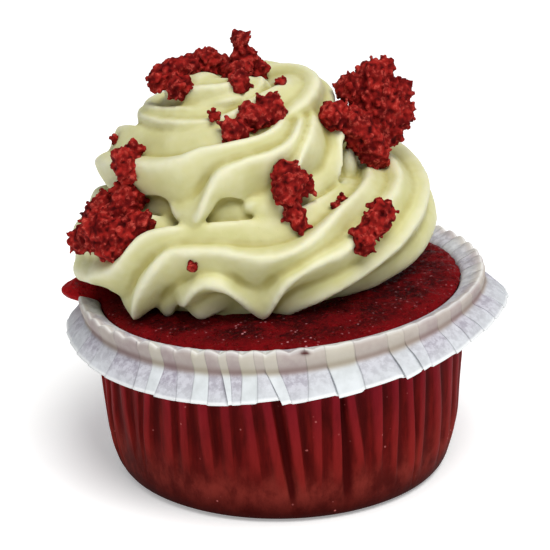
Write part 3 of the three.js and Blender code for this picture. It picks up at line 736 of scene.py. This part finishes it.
# Each ridge along the rope, from its start to its end: turn, and angle on the section in degrees.
ROPE_RIDGES = [
    [(-0.12, -285), (0.1, -215), (0.2, -130), (0.3, -110), (0.4, -60), (0.5, -15), (0.75, 60),
     (1, 115), (1.2, 165), (1.3, 215), (1.4, 285), (1.5, 330), (1.75, 350), (2, 393), (2.15, 402),
     (2.25, 429), (2.65, 520), (3.35, 670)],
    [(-0.12, -235), (0.1, -165), (0.16, -75), (0.2, -70), (0.255, -95), (0.3, -55), (0.325, -36),
     (0.365, -14), (0.4, 0), (0.45, 22), (0.5, 40), (0.75, 112), (1, 165), (1.2, 215), (1.3, 265),
     (1.4, 330), (1.5, 370), (1.75, 390), (2, 412), (2.09, 430), (2.17, 445), (2.3, 470),
     (2.65, 570), (3.35, 720)],
    [(-0.12, -190), (0.1, -130), (0.14, -84), (0.17, -38), (0.188, -16), (0.203, -10), (0.225, -22),
     (0.255, -58), (0.28, -14), (0.31, 6), (0.34, 14), (0.375, 34), (0.405, 46), (0.45, 62),
     (0.5, 85), (0.75, 160), (1, 215), (1.2, 235), (1.25, 262), (1.305, 318), (1.35, 326),
     (1.378, 350), (1.4, 378), (1.5, 416), (1.75, 445), (2, 470), (2.25, 520), (2.65, 620),
     (3.35, 770)],
    [(-0.12, -148), (0.09, -80), (0.12, -56), (0.138, -14), (0.158, 22), (0.185, 28), (0.22, 27),
     (0.262, 19), (0.285, 22), (0.308, 31), (0.33, 45), (0.36, 63), (0.435, 90), (0.5, 120),
     (0.75, 205), (1, 255), (1.15, 262), (1.2, 268), (1.225, 290), (1.24, 318), (1.26, 328),
     (1.28, 360), (1.3, 387), (1.335, 408), (1.4, 432), (1.5, 449), (1.75, 500), (2, 525),
     (2.25, 570), (2.65, 670), (3.35, 820)],
    [(-0.12, -78), (0.06, -30), (0.09, -12), (0.118, 5), (0.135, 39), (0.15, 50), (0.2, 63),
     (0.26, 70), (0.3, 76), (0.4, 105), (0.5, 160), (0.75, 250), (1, 312), (1.12, 318), (1.16, 322),
     (1.178, 332), (1.19, 354), (1.205, 380), (1.238, 394), (1.265, 397), (1.295, 405),
     (1.335, 426), (1.4, 447), (1.5, 462), (1.75, 545), (2, 580), (2.25, 625), (2.65, 720),
     (3.35, 870)],
    [(-0.12, -28), (0.1, 42), (0.13, 75), (0.2, 110), (0.3, 122), (0.4, 140), (0.5, 200),
     (0.75, 290), (1, 375), (1.04, 382), (1.1, 390), (1.138, 393), (1.163, 399), (1.188, 411),
     (1.25, 420), (1.29, 430), (1.325, 444), (1.4, 466), (1.5, 490), (1.75, 590), (2, 630),
     (2.25, 670), (2.65, 770), (3.35, 920)],
    [(-0.12, 22), (0.1, 92), (0.13, 120), (0.2, 165), (0.3, 172), (0.4, 195), (0.5, 245),
     (0.75, 335), (1, 425), (1.053, 444), (1.1, 453), (1.21, 456), (1.3, 472), (1.5, 520),
     (1.75, 640), (2, 685), (2.25, 725), (2.65, 820), (3.35, 970)],
]
GROOVE = 0.36  # share of the way from one ridge to the next where the groove is deepest
LEAST_GAP, FULL_GAP = 9, 50  # degrees from ridge to ridge: the least, and for a full groove
# Folds pushed out of the rope, or pressed into it: turn, angle on the section, reach, length in
# turns, width in degrees.
FOLDS = [
    (0.02, -30, 2.6, 0.03, 20), (0.105, -50, 1.4, 0.025, 26), (0.132, -60, 1.5, 0.013, 30),
    (0.155, -62, -2.2, 0.012, 30), (0.182, -66, 0.9, 0.014, 26), (0.222, -64, -1.6, 0.02, 26),
    (0.266, -64, 2.0, 0.02, 28), (0.19, 100, -2.6, 0.09, 26), (0.27, 104, -1.6, 0.05, 24),
    (1.17, -20, 1.3, 0.024, 24), (1.252, -28, 1.2, 0.018, 18),
]
# The lower edge of the second coil, which hangs over the first: turn, and angle on the section.
HEM = [
    (0.98, -70), (1.05, -8), (1.075, -10), (1.118, -4), (1.132, -6), (1.146, -20), (1.162, -30),
    (1.18, -31), (1.191, -23), (1.203, -6), (1.213, -4), (1.222, -11), (1.236, -31), (1.255, -37),
    (1.34, -38), (1.36, -31), (1.378, -6), (1.395, 18), (1.44, 24), (1.5, -60),
]
HEM_TUCK = 2.6
HEART = [(0, 34.5), (24, 34.5), (25, 46), (21, 55), (14.5, 62), (9, 67), (5, 71), (0, 73)]
# Curls of cream in the gaps under the second coil, and the dome on the top one: centre and half
# lengths.
CURLS = [
    ((-7.5, -15.2, 54.2), (8.2, 3.8, 4.6)), ((-4.2, -18.4, 57), (2.4, 1.6, 1.8)),
    ((13.3, -1, 58.4), (1.7, 2.6, 4.2)), ((-13.2, 1, 72.6), (4.4, 3.8, 4.3)),
]
CREAM_VOXEL = 0.46
rope_waves = waves(11)
path_at, height_at, rope_at, depth_at = (curve_of(ROPE, k) for k in range(1, 5))
ridge_curves = [curve_of(keys, 1) for keys in ROPE_RIDGES]
hem_at = curve_of(HEM, 1)


def folds_at(turn, around):
    """How far the folds move the skin, for a turn and an angle on the section in radians."""
    total = 0.0
    for at, angle, reach, length, width in FOLDS:
        apart = (math.degrees(around) - angle + 180) % 360 - 180
        total += reach * math.exp(-(((turn - at) / length) ** 2) - (apart / width) ** 2)
    return total


def tuck_at(turn, around):
    """How far the skin draws in below the hem."""
    if not HEM[0][0] < turn < HEM[-1][0]:
        return 0.0
    below = (hem_at(turn) - math.degrees(around)) % 360
    return HEM_TUCK * smooth(0, 13, below) * (1 - smooth(80, 120, below))


def centre_of(turn):
    """The middle of the rope, which starts at the left and winds on round the front."""
    angle = math.pi + TAU * turn
    path = path_at(turn)
    return SWIRL + Vector((path * math.cos(angle), path * math.sin(angle), height_at(turn)))


def section_frame(turn):
    """The middle of the rope's section, and the directions outwards and upwards in it."""
    angle = math.pi + TAU * turn
    ahead = (centre_of(turn + 0.002) - centre_of(turn - 0.002)).normalized()
    outward = Vector((math.cos(angle), math.sin(angle), 0))
    outward = (outward - ahead * outward.dot(ahead)).normalized()
    return centre_of(turn), outward, outward.cross(ahead)


def ridges_of(turn):
    """The angles of the ridges on the section, in rising order, with the first again at the end."""
    angles = [curve(turn) for curve in ridge_curves]
    angles.append(angles[0] + 360)
    for i in range(1, len(angles)):
        angles[i] = max(angles[i], angles[i - 1] + LEAST_GAP)
    return angles


def on_rope(angles, share):
    """The angle at a share of the way round the ridges, and how far the groove there lies in."""
    i = min(int(share), len(ROPE_RIDGES) - 1)
    within = share - i
    gap = angles[i + 1] - angles[i]
    if within < GROOVE:
        fall = (within / GROOVE) ** 1.5
    else:
        fall = math.sin((1 - within) / (1 - GROOVE) * math.pi / 2) ** 1.2
    return math.radians(angles[i] + gap * within), fall * min(1.25, gap / FULL_GAP)


def rope_stretch(start, end):
    """The rope from one turn to another, as a capped tube."""
    steps = round((end - start) * STEPS_A_TURN)
    shape = bmesh.new()
    bmesh.ops.create_cone(
        shape, cap_ends=True, segments=len(ROPE_RIDGES) * RIDGE_COLUMNS, radius1=1, radius2=1,
        depth=1,
    )
    upright = [e for e in shape.edges if abs(e.verts[0].co.z - e.verts[1].co.z) > 0.5]
    bmesh.ops.subdivide_edges(shape, edges=upright, cuts=steps - 1, use_grid_fill=True)
    frames = {}
    for corner in shape.verts:
        along = round(0.5 - corner.co.z, 5)
        turn = start + along * (end - start)
        if along not in frames:
            frames[along] = (section_frame(turn), rope_at(turn), ridges_of(turn), depth_at(turn))
        (centre, outward, upward), rope, angles, depth = frames[along]
        share = math.atan2(corner.co.x, corner.co.y) / TAU % 1 * len(ROPE_RIDGES)
        around, fall = on_rope(angles, share)
        section = 1 + depth * (0.4 - 1.2 * fall)
        wobble = 1 + 0.03 * rope_waves(turn * 23, math.cos(around) * 2, turn * 9)
        radius = rope * section * wobble + folds_at(turn, around) - tuck_at(turn, around)
        corner.co = centre + (outward * math.cos(around) + upward * math.sin(around)) * radius
    return shape


def cream():
    """The swirl: a rope from a star nozzle, wound round a heart of cream."""
    heart = spun(HEART, columns=48)
    bmesh.ops.translate(heart, vec=SWIRL, verts=heart.verts)
    curls = bmesh.new()
    for centre, half in CURLS:
        ellipsoid(curls, centre, half, subdivisions=3)
    stretches = [rope_stretch(*ends) for ends in zip(ROPE_JOINTS, ROPE_JOINTS[1:])]
    shape = joined([heart, curls, *stretches])
    bmesh.ops.recalc_face_normals(shape, faces=shape.faces)
    shape = fused(shape, CREAM_VOXEL)
    relaxed(shape)

    def unevenness(point, normal):
        return 0.16 * grain(point, 4.5, 2.0) + 0.05 * grain(point, 1.4, 6.0)

    displaced(shape, unevenness)
    # depths under the smoothed skin, which set the cream's painted shade and painted highlights
    hollows(shape, rounds=30)
    piece("cream_swirl", shape, cream_finish(), "cream")


# ---- crumbs ----
# Centre and radius of the lumps that each clump grows round, and of the small crumbs stuck in the
# cream.
CLUMPS = {
    "crumb_top_left": [
        (-18.7, 1.6, 76.9, 3), (-21.7, 1.5, 75.6, 2.6), (-17.9, -2, 74.9, 2.5),
        (-16.3, 4.8, 76.9, 2.4),
    ],
    "crumb_top_middle": [
        (-13, 8.3, 76.9, 2.9), (-10.5, 9.3, 76.1, 2.2), (-15.2, 9.6, 76.2, 1.9),
    ],
    "crumb_top_tall": [
        (-5.8, 6.5, 77.6, 2.7), (-6.5, 7, 81.3, 1.8), (-7.1, 1.5, 76.5, 2.7),
        (-6.8, -3, 75.9, 2.2), (-3.4, 7, 75.4, 2),
    ],
    "crumb_right_large": [
        (19.4, 3.5, 69.6, 5.6), (18.2, 4, 74.3, 3.8), (13.9, 2.5, 72.8, 2.9), (23, 5, 67, 3.4),
        (23.3, 5, 71.3, 2.8), (20.6, 4.5, 76.4, 1.8), (20.6, 3, 65, 4), (15.6, -1.4, 65.6, 3.9),
        (10.4, -4, 69.4, 2.8), (13.5, -2.6, 68.1, 3.1), (17.4, -0.6, 62.4, 3.6),
        (18.6, -0.4, 60, 2.7),
    ],
    "crumb_centre_high": [
        (-4.6, -10, 70.9, 3), (-7.6, -13.3, 69.5, 2.8), (-1.3, -7.7, 72.1, 2.9),
        (0, -8.7, 70.8, 1.8),
    ],
    "crumb_centre_low": [
        (2.1, -20.2, 62.1, 3), (1.4, -18.9, 63.3, 2.4), (1.5, -20.5, 60, 2.7),
        (4.7, -17, 60.5, 2.2), (2.9, -20.6, 56, 2), (2.4, -18.6, 57.5, 1.8),
        (3.6, -21.4, 54, 1.6),
    ],
    "crumb_right_low": [
        (17.1, -20, 53.4, 2.6), (18.6, -17.5, 55, 2.6), (15.2, -22.4, 50.9, 2.1),
        (14.2, -21.6, 52.2, 1.6), (21.7, -14.4, 52.8, 1.5),
    ],
    "crumb_left_small": [
        (-28, -11.8, 64, 2.5), (-27.4, -12.8, 62.2, 2.1), (-26.2, -8.2, 64.7, 1.9),
    ],
    "crumb_left_large": [
        (-28.4, -12.8, 54.4, 3.7), (-27.4, -11.5, 57, 3.3), (-25.3, -17, 53.5, 2.8),
        (-32.2, -9.5, 54, 3.3), (-28.2, -17.2, 51.6, 3.1), (-32.6, -15.3, 51.7, 3.8),
        (-36, -11.1, 49, 3.1), (-30.5, -17, 49.1, 3), (-33.6, -9, 52.3, 2.9),
    ],
}
STUCK_CRUMBS = [
    (-11.4, -9.6, 71.4, 1.5), (10.4, -16.8, 56, 1.4), (11.6, -14.8, 56.9, 1.1),
    (-15.6, -24.9, 47.8, 1.4), (-30.4, 3.2, 63.5, 1.3), (0.9, -0.6, 75, 1.5),
]
CORE, STUCK_CORE = 0.84, 0.7  # the solid middle of a lump, as a share of its radius
BURIED = 0.72  # the share of a lump's radius inside which a grain would be hidden
GRAINS = 8  # grains on a lump, for each square millimetre of its radius squared
STUCK_GRAINS = 9
CRUMB_VOXEL = 0.3


def any_direction(source):
    """A direction drawn at random, evenly all round."""
    z = source.uniform(-1, 1)
    turn = source.uniform(0, TAU)
    flat = math.sqrt(1 - z * z)
    return Vector((flat * math.cos(turn), flat * math.sin(turn), z))


def lump(shape, centre, radius, subdivisions=1):
    """Adds a ball, which is a grain where it has few faces."""
    bmesh.ops.create_icosphere(
        shape, subdivisions=subdivisions, radius=radius, matrix=Matrix.Translation(centre)
    )


def clump(lumps, source):
    """Lumps with a skin of small grains, fused into open crumb."""
    shape = bmesh.new()
    for x, y, z, radius in lumps:
        centre = Vector((x, y, z))
        lump(shape, centre, radius * CORE, subdivisions=2)
        for _ in range(int(GRAINS * radius * radius)):
            way = any_direction(source)
            at = centre + way * radius * source.uniform(0.7, 0.92)
            if any((at - Vector(other[:3])).length < other[3] * BURIED for other in lumps):
                continue
            lump(shape, at, source.uniform(0.42, 0.9))
            if source.random() < 0.16:
                lump(shape, at + way * 0.9, source.uniform(0.32, 0.5))
    shape = fused(shape, CRUMB_VOXEL)
    seed = lumps[0][0]

    def roughness(point, normal):
        return 0.32 * grain(point, 0.9, seed) + 0.2 * grain(point, 0.5, seed + 4)

    displaced(shape, roughness)
    # the pit value sets where the crumb's painted shade and painted highlights lie
    tagged(shape, "pit", lambda point: -grain(point, 0.9, seed) - 0.4 * grain(point, 2.2, seed))
    return shape


def crumbs(finish):
    """The nine clumps on the cream, each with its own seed."""
    for seed, (name, lumps) in enumerate(CLUMPS.items(), 1):
        shape = clump(lumps, random.Random(seed))
        piece(name.replace("crumb_", "clump_"), shape, finish, name)


def stuck_crumbs(finish):
    """The six small crumbs stuck in the cream."""
    source = random.Random(21)
    whole = bmesh.new()
    for x, y, z, radius in STUCK_CRUMBS:
        centre = Vector((x, y, z))
        way = (centre - SWIRL - Vector((0, 0, 50))).normalized()
        lump(whole, centre, radius * STUCK_CORE, subdivisions=2)
        for _ in range(STUCK_GRAINS):
            at = centre + (any_direction(source) + way * 0.2) * radius * STUCK_CORE
            lump(whole, at, source.uniform(0.3, 0.6))
    displaced(whole, lambda point, normal: 0.12 * grain(point, 0.6, 3.0))
    # the pit value sets where the crumb's painted shade and painted highlights lie
    tagged(whole, "pit", lambda point: -grain(point, 0.9, 2.0))
    piece("crumbs_stuck", whole, finish, "cream")


# ---- camera, floor and light ----
CAMERA_DOWN, CAMERA_ROLL, CAMERA_AWAY, CAMERA_AIM = 20.3, -1.2, 400, (-0.9, 0, 36.8)
FOCAL_PIXELS, FRAME_PIXELS, SENSOR = 2085, 550, 36
LAMP_AIM = (0, 0, 40)
FLOOR_HALF = 4  # metres


def stand():
    """A plain pale floor."""
    shape = bmesh.new()
    bmesh.ops.create_grid(shape, x_segments=1, y_segments=1, size=FLOOR_HALF)
    floor = linked("floor", shape)
    matt = Finish(
        "pale_floor", Base_Color=colour(250, 250, 250), Roughness=0.9,
        Emission_Color=(1, 1, 1, 1), Emission_Strength=0.3,
    )
    floor.data.materials.append(matt.material)


def camera():
    """Looks down on the cupcake from the front, with a slight roll."""
    down, roll = math.radians(CAMERA_DOWN), math.radians(CAMERA_ROLL)
    back = Vector((0, -math.cos(down), math.sin(down)))
    level, tall = Vector((1, 0, 0)), Vector((0, math.sin(down), math.cos(down)))
    right = level * math.cos(roll) + tall * math.sin(roll)
    up = tall * math.cos(roll) - level * math.sin(roll)
    eye = bpy.data.objects.new("camera", bpy.data.cameras.new("camera"))
    eye.data.sensor_width = SENSOR
    eye.data.lens = FOCAL_PIXELS / FRAME_PIXELS * SENSOR
    eye.data.clip_start, eye.data.clip_end = 0.01, 20
    where = (Vector(CAMERA_AIM) + back * CAMERA_AWAY) * MM
    eye.matrix_world = Matrix.Translation(where) @ Matrix((right, up, back)).transposed().to_4x4()
    bpy.context.scene.collection.objects.link(eye)
    bpy.context.scene.camera = eye


def lamp(name, place, size, power, tint):
    """A soft square lamp that faces the cupcake, placed in millimetres."""
    light = bpy.data.lights.new(name, "AREA")
    light.size = size * MM
    light.energy = power
    light.color = tint
    made = bpy.data.objects.new(name, light)
    towards = Vector(LAMP_AIM) - Vector(place)
    made.rotation_euler = towards.to_track_quat("-Z", "Y").to_euler()
    made.location = Vector(place) * MM
    bpy.context.scene.collection.objects.link(made)


def studio():
    """One large lamp high at the front right, and a pale sky."""
    world = bpy.data.worlds.new("studio")
    world.use_nodes = True
    sky = world.node_tree.nodes["Background"].inputs
    sky["Color"].default_value = (0.95, 0.97, 1, 1)
    sky["Strength"].default_value = 0.34
    bpy.context.scene.world = world
    lamp("key", (320, -660, 1450), size=1000, power=26, tint=(1, 0.99, 0.97))
    bpy.context.scene.view_settings.view_transform = "Standard"


camera()
studio()
stand()
paper_wall()
paper_frill()
cake()
cream()
crumb_paint = crumb_finish()
crumbs(crumb_paint)
stuck_crumbs(crumb_paint)
